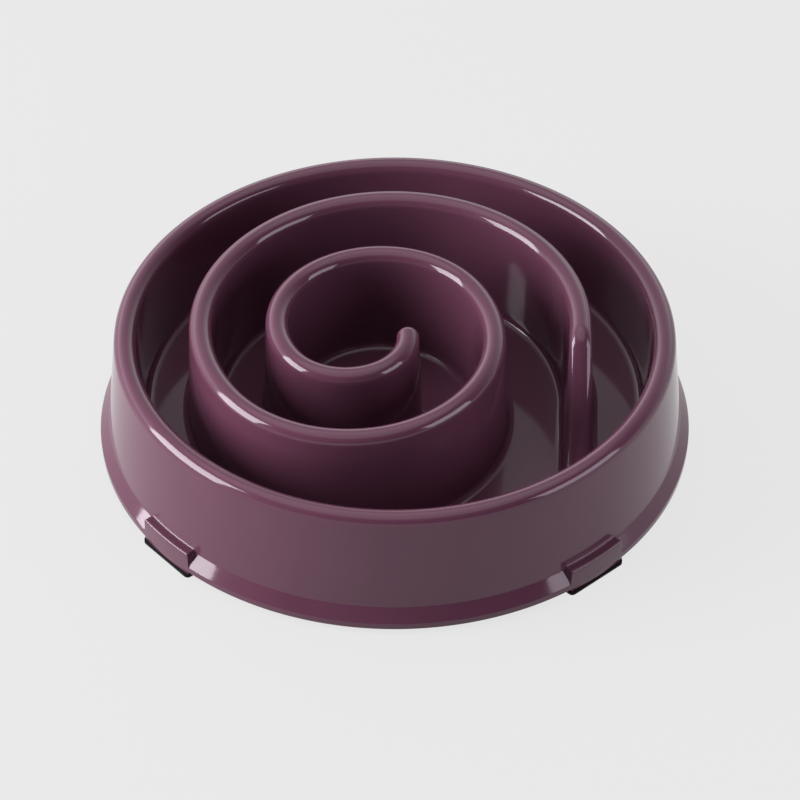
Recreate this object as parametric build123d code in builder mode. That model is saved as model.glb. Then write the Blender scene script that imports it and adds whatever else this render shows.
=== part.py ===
from build123d import *

import os
from math import asin, atan2, cos, degrees, hypot, radians, sin, sqrt, tan

# Slow feeder bowl, in millimetres and degrees. The Z axis is the bowl's own axis, the four rubber
# feet stand on Z = 0, and the front of the bowl faces -Y.

# Bowl: a single moulding of even wall, open from below
flange_diameter = 250.0
flange_edge = 2.8
ledge_height = 8.7
rim_inset = 12.4
rim_round = 4.6
rim_height = 52.8
skirt_draft = 5.5
well_draft = 6.0
floor_height = 13.3
floor_fillet = 3.0
ledge_fillet = 0.8
wall = 2.4

# Spiral ridge: turns from the tail in the middle outwards, each touching the one before it. Its plan is
# given in shares of the floor's radius, so that it keeps clear of the inner wall.
ridge_height = 63.0
ridge_round = 4.7
ridge_draft = 2.0
tail_centre_shares = [-0.183, -0.138]
tail_bearing = 1.0
turn_shares = [0.235, 0.253, 0.409, 0.422, 0.596, 0.557, 0.788, 0.742, 0.778]
turn_sweeps = [59.0, 90.0, 90.0, 90.0, 90.0, 90.0, 90.0, 90.0, 33.8]

# Outer end of the ridge: a level run, a bend and a straight slope down to a toe near the inner wall
level_share = 0.045
bend_radius = 11.0
toe_clearance = 1.2
bend_shares = [0.0, 0.4, 0.75, 1.0]

# Tabs on the ledge, with a slot under each that holds the plug of a foot
tab_bearing = -48.7
tab_width = 28.0
tab_height = 10.0
tab_depth = 6.8
tab_fillet = 0.9

# Rubber feet: a pad under the flange and a plug up in the slot
foot_drop = 2.5
foot_width = 31.0
pad_inset = 0.2
pad_fillet = 1.1
plug_inset = 2.5
plug_thickness = 2.2
plug_width = 22.0
plug_height = 6.0
slot_clearance = 0.15
foot_names = ["foot_front_right", "foot_back_right", "foot_back_left", "foot_front_left"]

overrun = 5.0

# Heights above the surface that the bowl stands on, and radii from its axis
flange_z = foot_drop
edge_z = flange_z + flange_edge
ledge_z = flange_z + ledge_height
floor_z = flange_z + floor_height
crest_z = flange_z + ridge_height
rim_z = flange_z + rim_height - rim_round
flange_x = flange_diameter / 2
rim_x = flange_x - rim_inset
skirt_lean = radians(skirt_draft)
well_lean = radians(well_draft)
ridge_lean = radians(ridge_draft)
quarter = 360 / len(foot_names)


def outwards(angle):
    # The level unit vector along a bearing
    return Vector(1, 0, 0).rotate(Axis.Z, angle)


def upright(angle, centre=(0, 0, 0)):
    # A standing plane through a vertical axis: its x runs outwards along a bearing, its y runs up
    return Plane(origin=centre, x_dir=outwards(angle), z_dir=outwards(angle - 90))


def skirt_x(z, depth=0):
    # The skirt's outer face at a height, or a face that lies a depth behind it
    return rim_x + (rim_round - depth) / cos(skirt_lean) + (rim_z - z) * tan(skirt_lean)


def well_x(z, depth=0):
    # The inner wall's face at a height, or a face that lies a depth behind it
    return rim_x - (rim_round - depth) / cos(well_lean) - (rim_z - z) * tan(well_lean)


def draw_rim(depth):
    # The round of the rim from the inner wall over to the skirt, or its hollow, a depth inside
    radius = rim_round - depth
    well_end = (rim_x - radius * cos(well_lean), rim_z + radius * sin(well_lean))
    skirt_end = (rim_x + radius * cos(skirt_lean), rim_z + radius * sin(skirt_lean))
    return ThreePointArc(well_end, (rim_x, rim_z + radius), skirt_end)


def behind(corner, normal_a, normal_b):
    # The corner of two inner faces that lie one wall behind the outer faces of a corner
    return Vector(*corner) - (normal_a + normal_b) * (wall / (1 + normal_a.dot(normal_b)))


def ridge_section(plane, reach, crest, depth, half=False):
    # Section of the ridge: a round crest on two drafted flanks, or its hollow, a depth inside.
    # The flanks stay in place under a lower crest, so its round is wider.
    top_middle = crest_z - ridge_round
    middle = (crest - ridge_round - top_middle * sin(ridge_lean)) / (1 - sin(ridge_lean))
    radius = crest - middle - depth
    touch_x = radius * cos(ridge_lean)
    touch_z = middle + radius * sin(ridge_lean)
    root_x = radius / cos(ridge_lean) + middle * tan(ridge_lean)
    with BuildSketch(plane) as section:
        with BuildLine():
            Line((reach - root_x, 0), (reach - touch_x, touch_z))
            ThreePointArc((reach - touch_x, touch_z), (reach, middle + radius), (reach + touch_x, touch_z))
            Polyline((reach + touch_x, touch_z), (reach + root_x, 0), (reach - root_x, 0))
        make_face()
        if half:
            split(bisect_by=Plane.YZ.offset(reach), keep=Keep.TOP)
    return section.sketch


def spiral_ridge(depth):
    # The ridge from its tail in the middle to its outer end, or its hollow, a depth inside
    floor_x = well_x(floor_z)
    turn_radii = [share * floor_x for share in turn_shares]
    radius = turn_radii[0]
    centre = Vector(*[share * floor_x for share in tail_centre_shares])
    bearing = tail_bearing

    with BuildPart() as ridge:
        # Round tip of the tail
        tip = centre + outwards(bearing) * radius
        tip_half = ridge_section(upright(bearing, centre), radius, crest_z, depth, half=True)
        revolve(tip_half, Axis(tip, (0, 0, 1)), 180)
        # Turns, clockwise from above
        for next_radius, sweep in zip(turn_radii, turn_sweeps):
            centre += outwards(bearing) * (radius - next_radius)
            radius = next_radius
            turn = ridge_section(upright(bearing, centre), radius, crest_z, depth)
            revolve(turn, Axis(centre, (0, 0, -1)), sweep)
            bearing -= sweep
        # Outer end: the toe's outer corner keeps its clearance to the wall, and the slope runs down to it
        root = ridge_round / cos(ridge_lean) + (crest_z - ridge_round - floor_z) * tan(ridge_lean)
        corner = centre + outwards(bearing) * (radius + root + floor_fillet)
        past = corner.dot(outwards(bearing - 90))
        toe_run = sqrt((floor_x - toe_clearance) ** 2 - corner.length**2 + past**2) - past
        level_run = level_share * floor_x
        ramp_run = toe_run - level_run
        bend_drop = crest_z - bend_radius - (floor_z - wall)
        slope = asin(bend_radius / hypot(ramp_run, bend_drop)) + atan2(bend_drop, ramp_run)
        level_plane = upright(bearing, centre)
        bend_plane = level_plane.offset(level_run - depth)
        extrude(ridge_section(level_plane, radius, crest_z, depth), level_run - depth)
        bend = []
        for share in bend_shares:
            run = share * bend_radius * sin(slope)
            crest = crest_z - bend_radius + sqrt(bend_radius**2 - run**2)
            bend.append(ridge_section(bend_plane.offset(run), radius, crest, depth))
        loft(bend)
        toe = ridge_section(bend_plane.offset(ramp_run), radius, floor_z - wall, depth)
        loft([bend[-1], toe], ruled=True)
    return ridge.part


def sector(inner, outer, low, high, width):
    # A curved block about the Z axis, between two radii and two heights, centred on +X
    angle = degrees(width / flange_x)
    with BuildPart() as block:
        with BuildSketch(upright(-angle / 2)):
            with Locations(((inner + outer) / 2, (low + high) / 2)):
                Rectangle(outer - inner, high - low)
        revolve(revolution_arc=angle)
    return block.part


ridge = spiral_ridge(0)
ridge_hollow = spiral_ridge(wall)

plug_outer = flange_x - plug_inset
plug_inner = plug_outer - plug_thickness
slot = sector(
    plug_inner - slot_clearance,
    plug_outer + slot_clearance,
    flange_z - overrun,
    flange_z + plug_height + slot_clearance,
    plug_width + 2 * slot_clearance,
)

with BuildPart() as tab:
    add(sector(flange_x - tab_depth, flange_x, flange_z, flange_z + tab_height, tab_width))
    fillet(tab.edges().group_by(Axis.Z)[-1], tab_fillet)

with BuildPart() as bowl_shell:
    # Solid of the outer form, from the flange over the rim and down to the floor
    with BuildSketch(Plane.XZ) as outer_form:
        with BuildLine():
            rim = draw_rim(0)
            Polyline(rim @ 0, (well_x(floor_z), floor_z), (0, floor_z), (0, flange_z), (flange_x, flange_z))
            Polyline((flange_x, flange_z), (flange_x, edge_z), (skirt_x(ledge_z), ledge_z), rim @ 1)
        make_face()
        fillet(outer_form.vertices().sort_by_distance((well_x(floor_z), floor_z))[0], floor_fillet)
        fillet(outer_form.vertices().sort_by_distance((skirt_x(ledge_z), ledge_z))[0], ledge_fillet)
        fillet(outer_form.vertices().sort_by_distance((flange_x, edge_z))[0], ledge_fillet)
    revolve()
    add(ridge)
    floor = bowl_shell.faces().filter_by(Axis.Z).sort_by(Axis.Z)[-1]
    fillet(floor.inner_wires().edges(), floor_fillet)
    # Hollow under the floor, inside the ridge and between the inner wall and the skirt
    with BuildSketch(Plane.XZ):
        with BuildLine():
            ledge_run = Vector(flange_x - skirt_x(ledge_z), edge_z - ledge_z).normalized()
            ledge_out = Vector(-ledge_run.Y, ledge_run.X)
            skirt_out = Vector(cos(skirt_lean), sin(skirt_lean))
            inner_ledge = behind((skirt_x(ledge_z), ledge_z), skirt_out, ledge_out)
            inner_edge = behind((flange_x, edge_z), ledge_out, Vector(1, 0))
            inner_rim = draw_rim(wall)
            under_z = floor_z - wall
            Polyline(inner_rim @ 0, (well_x(under_z, wall), under_z), (0, under_z), (0, -overrun))
            Polyline((0, -overrun), (inner_edge.X, -overrun), inner_edge, inner_ledge, inner_rim @ 1)
        make_face()
    revolve(mode=Mode.SUBTRACT)
    add(ridge_hollow, mode=Mode.SUBTRACT)
    with PolarLocations(0, len(foot_names), start_angle=tab_bearing):
        add(tab.part)
    with PolarLocations(0, len(foot_names), start_angle=tab_bearing):
        add(slot, mode=Mode.SUBTRACT)

os.makedirs("parts", exist_ok=True)
bowl_shell.part.label = "bowl_shell"
export_step(bowl_shell.part, "parts/bowl_shell.step")

for i, name in enumerate(foot_names):
    with BuildPart() as foot:
        with Locations(Rotation(0, 0, tab_bearing + i * quarter)):
            add(sector(flange_x - tab_depth, flange_x - pad_inset, 0, flange_z, foot_width))
            fillet(foot.edges().group_by(Axis.Z)[0], pad_fillet)
            add(sector(plug_inner, plug_outer, flange_z, flange_z + plug_height, plug_width))
    foot.part.label = name
    export_step(foot.part, f"parts/{name}.step")
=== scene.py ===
import bmesh
import bpy
import numpy as np
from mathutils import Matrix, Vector
from mathutils.geometry import delaunay_2d_cdt


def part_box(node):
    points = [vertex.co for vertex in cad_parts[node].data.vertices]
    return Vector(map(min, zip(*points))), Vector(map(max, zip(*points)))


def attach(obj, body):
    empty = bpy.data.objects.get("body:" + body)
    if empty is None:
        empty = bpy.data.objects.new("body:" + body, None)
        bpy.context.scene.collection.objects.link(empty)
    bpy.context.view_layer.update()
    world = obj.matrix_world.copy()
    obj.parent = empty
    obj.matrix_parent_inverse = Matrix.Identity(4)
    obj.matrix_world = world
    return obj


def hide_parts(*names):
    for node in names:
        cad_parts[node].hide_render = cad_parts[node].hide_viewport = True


# Slow feeder bowl: a glossy moulding with a spiral ridge, on four rubber feet.
# Shapes are worked out in millimetres in the CAD frame and go into the meshes in metres.

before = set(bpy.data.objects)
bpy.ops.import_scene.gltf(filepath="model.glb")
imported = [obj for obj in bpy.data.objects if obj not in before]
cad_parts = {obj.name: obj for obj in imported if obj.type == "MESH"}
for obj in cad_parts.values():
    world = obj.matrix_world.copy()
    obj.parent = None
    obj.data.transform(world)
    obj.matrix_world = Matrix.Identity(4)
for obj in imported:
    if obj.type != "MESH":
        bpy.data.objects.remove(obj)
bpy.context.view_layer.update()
mm = 0.001

shellLow, shellHigh = (np.array(corner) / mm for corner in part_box("bowl_shell"))
flangeX = shellHigh[0]
flangeZ = shellLow[2]
crestZ = shellHigh[2]
footNames = ["foot_front_right", "foot_back_right", "foot_back_left", "foot_front_left"]
print("frame: flange radius", round(flangeX, 2), "flange", round(flangeZ, 2), "crest", round(crestZ, 2))


# Profiles and grids

weldDistance = 2e-6  # metres
webTolerance = 1e-5  # millimetres
insideOnly = 1  # the kind of triangulation that keeps what lies inside the outlines


def unit(vector):
    # The vector at length one
    return vector / np.linalg.norm(vector)


def roundedProfile(rows):
    # Each row is x, z, radius, steps of the arc and steps of the run before it. An arc's points are
    # its centre plus the two end radii weighed by sines; a run's points are spaced by a cosine.
    rows = np.array(rows, float)
    points = rows[:, :2]
    profile = [points[:1]]
    for i in range(1, len(rows)):
        radius, arcSteps, runSteps = rows[i, 2], int(rows[i, 3]), int(rows[i, 4])
        arc = points[i:i + 1]
        if radius > 0:
            back = unit(points[i - 1] - points[i])
            ahead = unit(points[i + 1] - points[i])
            half = np.arccos(np.clip(back @ ahead, -1, 1)) / 2
            centre = points[i] + unit(back + ahead) * radius / np.sin(half)
            first = points[i] + back * radius / np.tan(half) - centre
            last = points[i] + ahead * radius / np.tan(half) - centre
            sweep = np.pi - 2 * half
            t = np.linspace(0, sweep, arcSteps + 1)[:, None]
            arc = centre + (np.sin(sweep - t) * first + np.sin(t) * last) / np.sin(sweep)
        if runSteps > 1:
            share = (1 - np.cos(np.pi * np.arange(1, runSteps) / runSteps))[:, None] / 2
            profile.append(profile[-1][-1] * (1 - share) + arc[0] * share)
        profile.append(arc if runSteps else arc[1:])
    return np.vstack(profile)


def gridFaces(rows, columns, closed=False):
    # Quads of a grid whose points are numbered row by row. If closed, its last row joins its first.
    i = np.arange(rows if closed else rows - 1)[:, None]
    j = np.arange(columns - 1)[None, :]
    following = (i + 1) % rows
    quads = [i * columns + j, i * columns + j + 1, following * columns + j + 1, following * columns + j]
    return np.stack(quads, -1).reshape(-1, 4)


def flatWeb(rimLoop, islandLoop, z):
    # A level face between a round edge and the outline of the ridge, in triangles
    outline = np.vstack([rimLoop, islandLoop])
    rimFace = list(range(len(rimLoop)))
    islandFace = list(range(len(rimLoop), len(outline)))
    flat = [Vector(point) for point in outline]
    webbed = delaunay_2d_cdt(flat, [], [rimFace, islandFace], insideOnly, webTolerance)
    points, _, faces, _, _, sources = webbed
    kept = [face for face, source in zip(faces, sources) if source == [0]]
    level = np.array([tuple(point) for point in points])
    return np.column_stack([level, np.full(len(level), z)]), kept


def makePiece(name, parts, sharpAngle):
    # One closed mesh from several grids of points and faces, welded where their edges meet
    vertices, faces, count = [], [], 0
    for points, quads in parts:
        vertices.append(points.reshape(-1, 3))
        faces += [[count + index for index in face] for face in np.asarray(quads).tolist()]
        count += len(vertices[-1])
    mesh = bpy.data.meshes.new(name)
    mesh.from_pydata((np.vstack(vertices) * mm).tolist(), [], faces)
    work = bmesh.new()
    work.from_mesh(mesh)
    bmesh.ops.remove_doubles(work, verts=work.verts, dist=weldDistance)
    bmesh.ops.dissolve_degenerate(work, edges=work.edges, dist=weldDistance)
    loose = [vertex for vertex in work.verts if not vertex.link_faces]
    bmesh.ops.delete(work, geom=loose, context="VERTS")
    bmesh.ops.recalc_face_normals(work, faces=work.faces)
    openEdges = sum(len(edge.link_faces) != 2 for edge in work.edges)
    work.to_mesh(mesh)
    work.free()
    mesh.shade_smooth()
    mesh.set_sharp_from_angle(angle=np.radians(sharpAngle))
    piece = bpy.data.objects.new(name, mesh)
    bpy.context.scene.collection.objects.link(piece)
    print(name, len(mesh.polygons), "faces,", openEdges, "edges that are not between two faces")
    return piece


# Bowl shell

shell = {
    "flangeEdge": 2.8, "ledgeHeight": 8.7, "ledgeFillet": 0.8, "edgeRound": 0.35,
    "rimInset": 12.4, "rimRound": 4.6, "rimHeight": 52.8, "skirtDraft": 5.5, "wellDraft": 6.0,
    "floorHeight": 13.3, "floorFillet": 3.0, "wall": 2.4,
    "flatLip": 0.6,  # a narrow level strip beside each fillet, where the floor's web begins
    "columns": 360, "sharpAngle": 40.0,
}
tabs = {
    "bearing": -48.7, "width": 28.0, "height": 10.0, "depth": 6.8, "round": 0.75, "rootRound": 0.75,
    "endLean": 0.25, "endRootRound": 0.5, "endReach": 2.0, "lip": 1.3, "lipWall": 0.9,
}
slots = {"inset": 2.5, "thickness": 2.2, "width": 22.0, "height": 6.0, "clearance": 0.15, "endReach": 0.05}

edgeZ = flangeZ + shell["flangeEdge"]
ledgeZ = flangeZ + shell["ledgeHeight"]
tabZ = flangeZ + tabs["height"]
floorZ = flangeZ + shell["floorHeight"]
underZ = floorZ - shell["wall"]
rimTopZ = flangeZ + shell["rimHeight"]
rimZ = rimTopZ - shell["rimRound"]
rimX = flangeX - shell["rimInset"]
skirtLean = np.radians(shell["skirtDraft"])
wellLean = np.radians(shell["wellDraft"])


def skirtX(z, depth=0.0):
    # The skirt's outer face at a height, or a face that lies a depth behind it
    return rimX + (shell["rimRound"] - depth) / np.cos(skirtLean) + (rimZ - z) * np.tan(skirtLean)


def wellX(z, depth=0.0):
    # The inner wall's face at a height, or a face that lies a depth behind it
    return rimX - (shell["rimRound"] - depth) / np.cos(wellLean) - (rimZ - z) * np.tan(wellLean)


def shellProfile(onTab, overSlot):
    # Section of the wall from the floor over the rim, down the skirt, round the flange and back inside.
    # A tab swaps the sloping ledge for a level top, fills the flange behind it and hangs a lip over its
    # foot. Every form has the same number of points, so that one can be blended into another.
    wall = shell["wall"]
    hollowRound = shell["rimRound"] - wall
    hollowTop = rimTopZ - wall
    floorEdge = wellX(floorZ) - shell["floorFillet"] - shell["flatLip"]
    stepX, stepZ, stepRound = skirtX(ledgeZ), ledgeZ, shell["ledgeFillet"]
    brinkZ, brinkRound = edgeZ, shell["ledgeFillet"]
    slope = unit(np.array([flangeX - stepX, edgeZ - ledgeZ]))
    slopeOut = np.array([-slope[1], slope[0]])
    innerX = flangeX - wall
    lipX, lipZ = flangeX - tabs["lipWall"], flangeZ
    slotPoints = 5
    bottom = np.linspace(lipX, innerX, slotPoints + 2)[1:-1]
    slotRows = [(x, flangeZ, 0, 0, 1) for x in bottom]
    innerEdge = (innerX, edgeZ - wall * (1 - slopeOut[0]) / slopeOut[1])
    skirtOut = np.array([np.cos(skirtLean), np.sin(skirtLean)])
    innerLedge = np.array([stepX, ledgeZ]) - (skirtOut + slopeOut) * wall / (1 + skirtOut @ slopeOut)
    if onTab:
        stepX, stepZ, stepRound = skirtX(tabZ), tabZ, tabs["rootRound"]
        brinkZ, brinkRound = tabZ, tabs["round"]
        lipZ = flangeZ - tabs["lip"]
        innerX = flangeX - tabs["depth"]
        outer = flangeX - slots["inset"] + slots["clearance"]
        inner = outer - slots["thickness"] - 2 * slots["clearance"]
        slotZ = flangeZ + (slots["height"] + slots["clearance"] if overSlot else 0.0)
        slotRows = [
            (outer, flangeZ, 0, 0, 1),
            (outer, slotZ, 0, 0, 1),
            ((outer + inner) / 2, slotZ, 0, 0, 1),
            (inner, slotZ, 0, 0, 1),
            (inner, flangeZ, 0, 0, 1),
        ]
        innerEdge = (innerX, edgeZ)
        innerLedge = (innerX, tabZ)
    rows = [
        # x, z, radius, steps of the arc, steps of the run
        (floorEdge, floorZ, 0, 0, 0),
        (wellX(floorZ), floorZ, shell["floorFillet"], 8, 1),
        (wellX(rimTopZ), rimTopZ, shell["rimRound"], 10, 8),
        (skirtX(rimTopZ), rimTopZ, shell["rimRound"], 10, 0),
        (stepX, stepZ, stepRound, 5, 8),
        (flangeX, brinkZ, brinkRound, 6, 4),
        (flangeX, lipZ, shell["edgeRound"], 4, 3),
        (lipX, lipZ, 0, 0, 1),
        (lipX, flangeZ, 0, 0, 1),
        *slotRows,
        (innerX, flangeZ, 0, 0, 1),
        (*innerEdge, 0, 0, 1),
        (*innerLedge, 0, 0, 1),
        (skirtX(hollowTop, wall), hollowTop, hollowRound, 5, 3),
        (wellX(hollowTop, wall), hollowTop, hollowRound, 5, 0),
        (wellX(underZ, wall), underZ, 0, 0, 3),
    ]
    return roundedProfile(rows)


def tabEnd():
    # How a tab falls off at its end: distances past the end, and the share of its full height there
    rise = tabZ - edgeZ
    reach = tabs["endReach"]
    rows = [(-reach, rise, 0, 0, 0), (0, rise, tabs["round"], 6, 1),
            (tabs["endLean"], 0, tabs["endRootRound"], 4, 1), (reach, 0, 0, 0, 1)]
    curve = roundedProfile(rows)
    return curve[:, 0], curve[:, 1] / rise


def shellColumns():
    # Angles of the wall's columns, closer together at the ends of tabs and slots, with both masks
    even = np.arange(shell["columns"]) * 2 * np.pi / shell["columns"]
    centres = np.radians(tabs["bearing"]) + np.arange(len(footNames)) * 2 * np.pi / len(footNames)
    distance, share = tabEnd()
    slotHalf = slots["width"] / 2 + slots["clearance"]
    tabOffsets = tabs["width"] / 2 + distance
    slotOffsets = np.array([slotHalf - slots["endReach"], slotHalf + slots["endReach"]])
    offsets = np.concatenate([slotOffsets, tabOffsets])
    offsets = np.concatenate([-offsets[::-1], offsets]) / flangeX
    fine = (centres[:, None] + offsets).ravel() % (2 * np.pi)

    def fromCentre(angles):
        away = (angles[:, None] - centres + np.pi) % (2 * np.pi) - np.pi
        return np.abs(away).min(1) * flangeX

    nearEnd = np.abs(fromCentre(even) - tabs["width"] / 2) < tabs["endReach"]
    angles = np.sort(np.concatenate([even[~nearEnd], fine]))
    away = fromCentre(angles)
    return angles, np.interp(away, tabOffsets, share), (away < slotHalf).astype(float)


def shellWall():
    # The wall's section turned about the axis, blended between its ledge, tab and slot forms
    angles, tabShare, slotShare = shellColumns()
    ledge, tab, slot = shellProfile(False, False), shellProfile(True, False), shellProfile(True, True)
    tabShare, slotShare = tabShare[:, None, None], slotShare[:, None, None]
    section = ledge + tabShare * (tab - ledge) + slotShare * (slot - tab)
    x = section[..., 0] * np.cos(angles)[:, None]
    y = section[..., 0] * np.sin(angles)[:, None]
    return np.stack([x, y, section[..., 1]], -1)


# Spiral ridge

ridge = {
    "round": 4.7, "draft": 2.0, "hollowRound": 0.4,
    "tailCentreShares": [-0.183, -0.138], "tailBearing": 1.0,
    "turnShares": [0.235, 0.253, 0.409, 0.422, 0.596, 0.557, 0.788, 0.742, 0.778],
    "turnSweeps": [59.0, 90.0, 90.0, 90.0, 90.0, 90.0, 90.0, 90.0, 33.8],
    "levelShare": 0.045, "bendRadius": 11.0, "toeClearance": 1.2, "toeRound": 6.0,
    "step": 1.5, "tipSteps": 26,
    "outerSteps": (10, 6, 7), "hollowSteps": (6, 2, 2),  # of the crest, the flank and the fillet
}
ridgeLean = np.radians(ridge["draft"])


def outwards(bearing):
    # Level unit vectors along bearings in degrees
    a = np.radians(bearing)
    return np.stack([np.cos(a), np.sin(a)], -1)


def ridgePath(depth):
    # Plan of the ridge from its tail to its toe: points, the unit vector to the left, and the crest's
    # height. Turns run clockwise, so left is away from their centres, and each touches the one before it.
    floorX = wellX(floorZ)
    radii = np.array(ridge["turnShares"]) * floorX
    joints = ridge["tailBearing"] - np.concatenate([[0], np.cumsum(ridge["turnSweeps"])])
    centre = np.array(ridge["tailCentreShares"]) * floorX
    radius = radii[0]
    points, lefts = [], []
    for i, nextRadius in enumerate(radii):
        centre = centre + outwards(joints[i]) * (radius - nextRadius)
        radius = nextRadius
        steps = int(np.ceil(np.radians(ridge["turnSweeps"][i]) * radius / ridge["step"]))
        left = outwards(np.linspace(joints[i], joints[i + 1], steps + 1))
        points.append(centre + radius * left)
        lefts.append(left)
    crest = np.full(sum(map(len, points)), crestZ)
    # Ramp at the outer end, as a rounded profile of run and height
    side, ahead = outwards(joints[-1]), outwards(joints[-1] - 90)
    end = points[-1][-1]
    root = ridge["round"] / np.cos(ridgeLean) + (crestZ - ridge["round"] - floorZ) * np.tan(ridgeLean)
    corner = end + side * (root + shell["floorFillet"])
    past = corner @ ahead
    toeRun = np.sqrt((floorX - ridge["toeClearance"]) ** 2 - corner @ corner + past ** 2) - past
    levelRun = ridge["levelShare"] * floorX
    rampRun = toeRun - levelRun
    drop = crestZ - ridge["bendRadius"] - underZ
    slope = np.arcsin(ridge["bendRadius"] / np.hypot(rampRun, drop)) + np.arctan2(drop, rampRun)
    bendCorner = ridge["bendRadius"] * np.tan(slope / 2)
    footRun = bendCorner + (crestZ - floorZ) / np.tan(slope)
    ramp = roundedProfile([
        (depth - levelRun, crestZ, 0, 0, 0),
        (bendCorner, crestZ, ridge["bendRadius"], 10, 4),
        (footRun, floorZ, ridge["toeRound"], 8, 18),
        (footRun + ridge["toeRound"] * np.tan(slope / 2), floorZ, 0, 0, 0),
    ])[1:]
    points.append(end + ahead * (levelRun - depth + ramp[:, :1]))
    lefts.append(np.tile(side, (len(ramp), 1)))
    return np.vstack(points), np.vstack(lefts), np.concatenate([crest, ramp[:, 1]])


def ridgeSection(crest, depth, level, rootRound, steps):
    # Half sections, one row per crest height, from the crest to the root: a round, a drafted flank and
    # a fillet that touches the level. Where the crest is low, the fillet touches the round itself.
    topMiddle = crestZ - ridge["round"]
    middle = (crest - ridge["round"] - topMiddle * np.sin(ridgeLean)) / (1 - np.sin(ridgeLean))
    radius = crest - middle - depth
    reach = np.clip((level + rootRound - middle) / (radius + rootRound), -1, 1)
    tilt = np.maximum(ridgeLean, np.arcsin(reach))[:, None]
    middle, radius = middle[:, None], radius[:, None]
    touchX = radius * np.cos(tilt)
    touchZ = middle + radius * np.sin(tilt)
    fall = np.maximum(touchZ - level - rootRound * (1 - np.sin(tilt)), 0)
    crestA = np.pi / 2 + (tilt - np.pi / 2) * np.linspace(0, 1, steps[0] + 1)
    flank = ((1 - np.cos(np.pi * np.arange(1, steps[1]) / steps[1])) / 2)[None, :]
    rootA = tilt + (np.pi / 2 - tilt) * np.linspace(0, 1, steps[2] + 1)
    rootX = touchX + fall * np.tan(ridgeLean) + rootRound * np.cos(tilt)
    flatX = rootX + shell["flatLip"] * np.clip(rootX / shell["floorFillet"], 0, 1)
    x = np.hstack([
        radius * np.cos(crestA),
        touchX + fall * np.tan(ridgeLean) * flank,
        rootX - rootRound * np.cos(rootA),
        flatX,
    ])
    z = np.hstack([
        middle + radius * np.sin(crestA),
        touchZ - fall * flank,
        level + rootRound * (1 - np.sin(rootA)),
        np.full(flatX.shape, level),
    ])
    x[:, 0] = 0
    return x, z


def ridgeSurface(depth, level, rootRound, steps):
    # The section carried along the path, a half turn of it about the tail's tip, and the root's outline.
    # A point lies its distance across to the left of the path, and at the section's height.
    path, left, crest = ridgePath(depth)
    x, z = ridgeSection(crest, depth, level, rootRound, steps)
    acrossX = np.hstack([x[:, ::-1], -x[:, 1:]])
    acrossZ = np.hstack([z[:, ::-1], z[:, 1:]])
    plan = path[:, None] + left[:, None] * acrossX[..., None]
    body = np.concatenate([plan, acrossZ[..., None]], -1)
    turn = np.arctan2(left[0, 1], left[0, 0]) + np.linspace(0, np.pi, ridge["tipSteps"] + 1)
    spokes = np.stack([np.cos(turn), np.sin(turn)], -1)
    tipPlan = path[0] + spokes[:, None] * x[0][None, :, None]
    tipZ = np.broadcast_to(z[0], tipPlan.shape[:2])
    tip = np.concatenate([tipPlan, tipZ[..., None]], -1)
    outline = np.vstack([plan[:, 0], plan[-2::-1, -1], tipPlan[-2:0:-1, -1]])
    return body, tip, outline[::-1]


wallGrid = shellWall()
ridgeBody, ridgeTip, ridgeOutline = ridgeSurface(
    0.0, floorZ, shell["floorFillet"], ridge["outerSteps"])
hollowBody, hollowTip, hollowOutline = ridgeSurface(
    shell["wall"], underZ, ridge["hollowRound"], ridge["hollowSteps"])
bowlParts = [
    (wallGrid, gridFaces(*wallGrid.shape[:2], closed=True)),
    (ridgeBody, gridFaces(*ridgeBody.shape[:2])),
    (ridgeTip, gridFaces(*ridgeTip.shape[:2])),
    flatWeb(wallGrid[:, 0, :2], ridgeOutline, floorZ),
    (hollowBody, gridFaces(*hollowBody.shape[:2])),
    (hollowTip, gridFaces(*hollowTip.shape[:2])),
    flatWeb(wallGrid[:, -1, :2], hollowOutline, underZ),
]
bowl = makePiece("bowl", bowlParts, shell["sharpAngle"])


# Rubber feet

foot = {
    "width": 30.6, "frontReach": 0.5, "neckInset": 1.9, "lipGap": 0.12, "edgeRound": 0.3, "endRound": 1.4,
    "cornerRound": 3.2, "topRound": 0.25, "steps": 28, "endSteps": 12, "plugReach": 0.2, "sharpAngle": 50.0,
}


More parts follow.
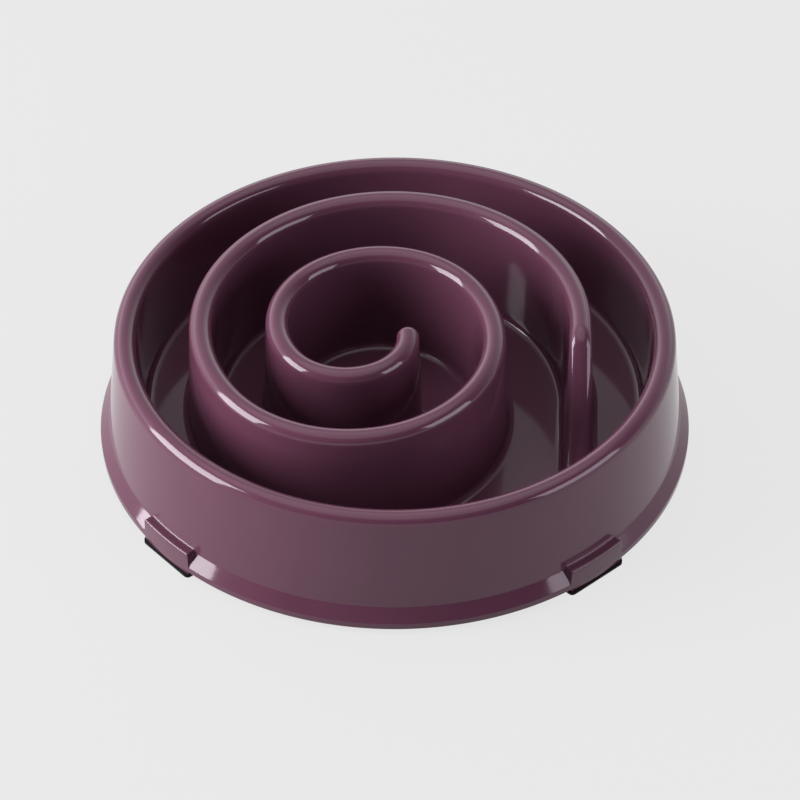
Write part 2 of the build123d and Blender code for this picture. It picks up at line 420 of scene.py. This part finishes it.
def footSurface(bearing):
    # A section of pad and plug carried along the flange. The plug follows the curve of its slot, and the
    # pad is straight, with a neck behind the tab's lip and round corners. Its underside rises in a round
    # at both ends.
    half, reach, corner = foot["width"] / 2, foot["endRound"], foot["cornerRound"]
    outer, neck = flangeX + foot["frontReach"], flangeX - foot["neckInset"]
    inner = flangeX - tabs["depth"]
    stepZ = flangeZ - tabs["lip"] - foot["lipGap"]
    plugOuter = flangeX - slots["inset"]
    plugInner = plugOuter - slots["thickness"]

    def section(plugZ):
        rows = [
            (plugInner, plugZ, 0, 0, 0), (plugInner, flangeZ, 0, 0, 1),
            (inner, flangeZ, foot["topRound"], 3, 1), (inner, 0, foot["edgeRound"], 4, 1),
            (outer, 0, foot["edgeRound"], 4, 3), (outer, stepZ, foot["topRound"], 3, 1),
            (neck, stepZ, 0, 0, 1), (neck, flangeZ, 0, 0, 1),
            (plugOuter, flangeZ, 0, 0, 1), (plugOuter, plugZ, 0, 0, 1),
        ]
        return roundedProfile(rows)

    fromEnd = corner * (1 - np.cos(np.linspace(0, np.pi / 2, foot["endSteps"] + 1)))
    plugHalf = slots["width"] / 2
    inside = np.linspace(0, half - corner, foot["steps"] // 2, endpoint=False)
    away = np.unique(np.concatenate([inside, half - fromEnd, [plugHalf - foot["plugReach"], plugHalf]]))
    along = np.concatenate([-away[:0:-1], away])
    plain, plugged = section(flangeZ), section(flangeZ + slots["height"])
    onPlug = (np.abs(along) < plugHalf)[:, None, None]
    grid = np.where(onPlug, plugged, plain)

    def fallBack(radius):
        # How far a quarter round at either end has fallen back there
        into = np.clip(radius - (half - np.abs(along)), 0, radius)
        return (radius - np.sqrt(radius ** 2 - into ** 2))[:, None]

    depthShare = np.where(grid[..., 1] < flangeZ, 1 - fallBack(reach) / flangeZ, 1)
    z = flangeZ - (flangeZ - grid[..., 1]) * depthShare
    out = np.minimum(grid[..., 0], outer - fallBack(corner))
    curved = (out >= plugInner) & (out <= plugOuter) & (grid[..., 1] >= flangeZ)
    turn = along[:, None] / flangeX
    forth = np.where(curved, out * np.cos(turn), out)
    sideways = np.where(curved, out * np.sin(turn), along[:, None])
    ahead, across = outwards(bearing), outwards(bearing + 90)
    plan = forth[..., None] * ahead + sideways[..., None] * across
    points = np.concatenate([plan, z[..., None]], -1)
    rows, columns = points.shape[:2]
    ring = np.arange(columns)
    joined = np.concatenate([points, points[:, :1]], 1)
    caps = [ring.tolist(), (ring + (rows - 1) * columns).tolist()]
    return (joined, gridFaces(rows, columns + 1)), (points, caps)


feet = []
for i, name in enumerate(footNames):
    footParts = footSurface(tabs["bearing"] + i * 360 / len(footNames))
    feet.append(makePiece(name + "_rubber", footParts, foot["sharpAngle"]))


# Materials

noiseSpan = (0.3, 0.7)  # the stretch of a noise's values that is spread over a range


def newMaterial(name):
    # A material with its nodes, links and surface shader
    material = bpy.data.materials.new(name)
    material.use_nodes = True
    nodes = material.node_tree.nodes
    return material, nodes, material.node_tree.links, nodes["Principled BSDF"]


def addNoise(nodes, links, coordinates, scale, detail):
    # Noise on the piece's own coordinates, in metres
    noise = nodes.new("ShaderNodeTexNoise")
    noise.inputs["Scale"].default_value = scale
    noise.inputs["Detail"].default_value = detail
    links.new(coordinates.outputs["Object"], noise.inputs["Vector"])
    return noise


def addRange(nodes, links, source, low, high):
    # A noise spread between two numbers
    spread = nodes.new("ShaderNodeMapRange")
    spread.inputs["From Min"].default_value = noiseSpan[0]
    spread.inputs["From Max"].default_value = noiseSpan[1]
    spread.inputs["To Min"].default_value = low
    spread.inputs["To Max"].default_value = high
    links.new(source.outputs["Fac"], spread.inputs["Value"])
    return spread


def addColours(nodes, links, source, dark, light):
    # A noise spread between two colours
    ramp = nodes.new("ShaderNodeValToRGB")
    for element, position, colour in zip(ramp.color_ramp.elements, noiseSpan, (dark, light)):
        element.position = position
        element.color = (*colour, 1)
    links.new(source.outputs["Fac"], ramp.inputs["Fac"])
    return ramp


def addBump(nodes, links, source, strength, distance):
    # A noise as a fine relief
    bump = nodes.new("ShaderNodeBump")
    bump.inputs["Strength"].default_value = strength
    bump.inputs["Distance"].default_value = distance
    links.new(source.outputs["Fac"], bump.inputs["Height"])
    return bump


def plumPlastic():
    # Gloss moulding: faint clouding of the pigment, uneven polish and the slight waviness of its skin
    look = {
        "dark": (0.094, 0.0335, 0.0562), "light": (0.106, 0.0378, 0.0634), "roughness": (0.07, 0.11),
        "clouds": (22, 4), "polish": (55, 3), "skin": (240, 2),  # noises: scale and detail
        "wave": (0.03, 0.0002),  # strength and depth in metres
        "refraction": 1.45,
    }
    material, nodes, links, surface = newMaterial("plum_plastic_gloss")
    coordinates = nodes.new("ShaderNodeTexCoord")
    clouds = addNoise(nodes, links, coordinates, *look["clouds"])
    colours = addColours(nodes, links, clouds, look["dark"], look["light"])
    links.new(colours.outputs["Color"], surface.inputs["Base Color"])
    polish = addNoise(nodes, links, coordinates, *look["polish"])
    gloss = addRange(nodes, links, polish, *look["roughness"])
    links.new(gloss.outputs["Result"], surface.inputs["Roughness"])
    skin = addNoise(nodes, links, coordinates, *look["skin"])
    wave = addBump(nodes, links, skin, *look["wave"])
    links.new(wave.outputs["Normal"], surface.inputs["Normal"])
    surface.inputs["IOR"].default_value = look["refraction"]
    return material


def blackRubber():
    # Matt rubber with a fine grain
    look = {
        "dark": (0.003, 0.003, 0.0033), "light": (0.007, 0.007, 0.0073), "roughness": (0.62, 0.8),
        "dust": (160, 5), "grain": (1800, 2),  # noises: scale and detail
        "bump": (0.25, 0.0002),  # strength and depth in metres
        "specular": 0.15,
    }
    material, nodes, links, surface = newMaterial("black_rubber_matt")
    coordinates = nodes.new("ShaderNodeTexCoord")
    dust = addNoise(nodes, links, coordinates, *look["dust"])
    colours = addColours(nodes, links, dust, look["dark"], look["light"])
    links.new(colours.outputs["Color"], surface.inputs["Base Color"])
    matt = addRange(nodes, links, dust, *look["roughness"])
    links.new(matt.outputs["Result"], surface.inputs["Roughness"])
    grain = addNoise(nodes, links, coordinates, *look["grain"])
    bump = addBump(nodes, links, grain, *look["bump"])
    links.new(bump.outputs["Normal"], surface.inputs["Normal"])
    surface.inputs["Specular IOR Level"].default_value = look["specular"]
    return material


bowl.data.materials.append(plumPlastic())
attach(bowl, "root")
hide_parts("bowl_shell")
rubber = blackRubber()
for piece, node in zip(feet, footNames):
    piece.data.materials.append(rubber)
    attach(piece, "root")
    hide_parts(node)
print("materials done")


# Studio, in metres

studio = {
    "floorGlow": 0.735, "floorSeen": 0.06, "floorColour": 0.36, "floorSize": 6.0, "floorZ": -0.00005,
    "sky": {
        "tint": (1.0, 0.985, 1.035),
        "turn": -25.0,  # degrees about the upright axis
        # from and to along a direction's Y (behind) or Z (the others), and the brightness at either
        "behind": (-0.45, 0.8, 0.0, 1.9), "fall": (0.3, 0.7, 1.0, 0.36), "overhead": (0.75, 0.9, 0.0, 0.98),
        "horizon": (0.1, 0.2, 0.807, 0.0), "rise": (0.1, 0.2, 0.0, 1.0),
    },
    "camera": {"elevation": 41.78, "distance": 1.5065, "targetZ": 0.01401, "lens": 159.8, "shiftX": 0.0065},
    "lamps": [
        # name, bearing, elevation, distance, width, height, watts, colour
        ("left", -170.6, 20.9, 1.6, 0.99, 1.15, 43.0, (1.0, 0.98, 1.04)),
        ("right", -20.0, 21.0, 1.6, 0.95, 0.74, 9.2, (1.0, 0.95, 1.08)),
    ],
}


def grey(level):
    # An even grey as a colour with alpha
    return level, level, level, 1


def paleWhenSeen(tree, shader, glow):
    # The glow for rays from the camera, reflections and see-through rays, and the shader for the rest
    nodes, links = tree.nodes, tree.links
    rays = nodes.new("ShaderNodeLightPath")
    seen = nodes.new("ShaderNodeMath")
    seen.operation = "MAXIMUM"
    links.new(rays.outputs["Is Camera Ray"], seen.inputs[0])
    links.new(rays.outputs["Is Glossy Ray"], seen.inputs[1])
    through = nodes.new("ShaderNodeMath")
    through.operation = "MAXIMUM"
    links.new(seen.outputs[0], through.inputs[0])
    links.new(rays.outputs["Is Transmission Ray"], through.inputs[1])
    mix = nodes.new("ShaderNodeMixShader")
    links.new(through.outputs[0], mix.inputs[0])
    links.new(shader.outputs[0], mix.inputs[1])
    links.new(glow.outputs[0], mix.inputs[2])
    return mix


def addFloor():
    # Seen, it is a pale glow with a little matt colour that takes the shadow. For the light that it
    # bounces it is plain and matt. It lies a hair below the feet, so that no faces coincide.
    half, z = studio["floorSize"] / 2, studio["floorZ"]
    corners = [(-half, -half, z), (half, -half, z), (half, half, z), (-half, half, z)]
    mesh = bpy.data.meshes.new("floor")
    mesh.from_pydata(corners, [], [(0, 1, 2, 3)])
    floor = bpy.data.objects.new("floor", mesh)
    bpy.context.scene.collection.objects.link(floor)
    material, nodes, links, surface = newMaterial("pale_floor")
    nodes.remove(surface)
    matt = nodes.new("ShaderNodeBsdfDiffuse")
    matt.inputs["Color"].default_value = grey(studio["floorColour"])
    shaded = nodes.new("ShaderNodeBsdfDiffuse")
    shaded.inputs["Color"].default_value = grey(studio["floorSeen"])
    glow = nodes.new("ShaderNodeEmission")
    glow.inputs["Color"].default_value = grey(studio["floorGlow"])
    both = nodes.new("ShaderNodeAddShader")
    links.new(shaded.outputs[0], both.inputs[0])
    links.new(glow.outputs[0], both.inputs[1])
    mix = paleWhenSeen(material.node_tree, matt, both)
    links.new(mix.outputs[0], nodes["Material Output"].inputs["Surface"])
    mesh.materials.append(material)


def addWorld():
    # The studio's sky: bright low behind the bowl and overhead, dark in front, and pale all round at the
    # horizon. Its brightness is (behind x fall + overhead) x rise + horizon.
    sky = studio["sky"]
    world = bpy.data.worlds.new("studio")
    bpy.context.scene.world = world
    world.use_nodes = True
    nodes, links = world.node_tree.nodes, world.node_tree.links
    coordinates = nodes.new("ShaderNodeTexCoord")
    turned = nodes.new("ShaderNodeMapping")
    turned.inputs["Rotation"].default_value = (0, 0, np.radians(sky["turn"]))
    links.new(coordinates.outputs["Generated"], turned.inputs["Vector"])
    direction = nodes.new("ShaderNodeSeparateXYZ")
    links.new(turned.outputs["Vector"], direction.inputs[0])

    def along(axis, fromMin, fromMax, toMin, toMax):
        spread = nodes.new("ShaderNodeMapRange")
        spread.interpolation_type = "SMOOTHSTEP"
        spread.inputs["From Min"].default_value = fromMin
        spread.inputs["From Max"].default_value = fromMax
        spread.inputs["To Min"].default_value = toMin
        spread.inputs["To Max"].default_value = toMax
        links.new(direction.outputs[axis], spread.inputs["Value"])
        return spread.outputs["Result"]

    def combine(operation, first, second):
        both = nodes.new("ShaderNodeMath")
        both.operation = operation
        links.new(first, both.inputs[0])
        links.new(second, both.inputs[1])
        return both.outputs[0]

    behind = combine("MULTIPLY", along("Y", *sky["behind"]), along("Z", *sky["fall"]))
    dome = combine("ADD", behind, along("Z", *sky["overhead"]))
    risen = combine("MULTIPLY", dome, along("Z", *sky["rise"]))
    nodes["Background"].inputs["Color"].default_value = (*sky["tint"], 1)
    links.new(combine("ADD", risen, along("Z", *sky["horizon"])), nodes["Background"].inputs["Strength"])


def addLamps():
    # Soft boxes beside the bowl, each turned to face it and hidden from the camera
    for name, bearing, elevation, distance, width, height, watts, colour in studio["lamps"]:
        a = np.radians(elevation)
        place = Vector((*outwards(bearing) * np.cos(a), np.sin(a))) * distance
        data = bpy.data.lights.new(name, "AREA")
        data.shape = "RECTANGLE"
        data.size = width
        data.size_y = height
        data.energy = watts
        data.color = colour
        lamp = bpy.data.objects.new(name, data)
        lamp.location = place
        lamp.visible_camera = False
        lamp.rotation_euler = place.to_track_quat("Z", "Y").to_euler()
        bpy.context.scene.collection.objects.link(lamp)


def addCamera():
    # Looks down from the front at a point on the bowl's axis
    view = studio["camera"]
    a = np.radians(view["elevation"])
    target = Vector((0, 0, view["targetZ"]))
    place = target + Vector((0, -np.cos(a), np.sin(a))) * view["distance"]
    data = bpy.data.cameras.new("camera")
    data.lens = view["lens"]
    data.shift_x = view["shiftX"]
    camera = bpy.data.objects.new("camera", data)
    camera.location = place
    camera.rotation_euler = (target - place).to_track_quat("-Z", "Y").to_euler()
    bpy.context.scene.collection.objects.link(camera)
    bpy.context.scene.camera = camera


addFloor()
addWorld()
addLamps()
addCamera()
bpy.context.scene.view_settings.view_transform = "Standard"
print("studio done")
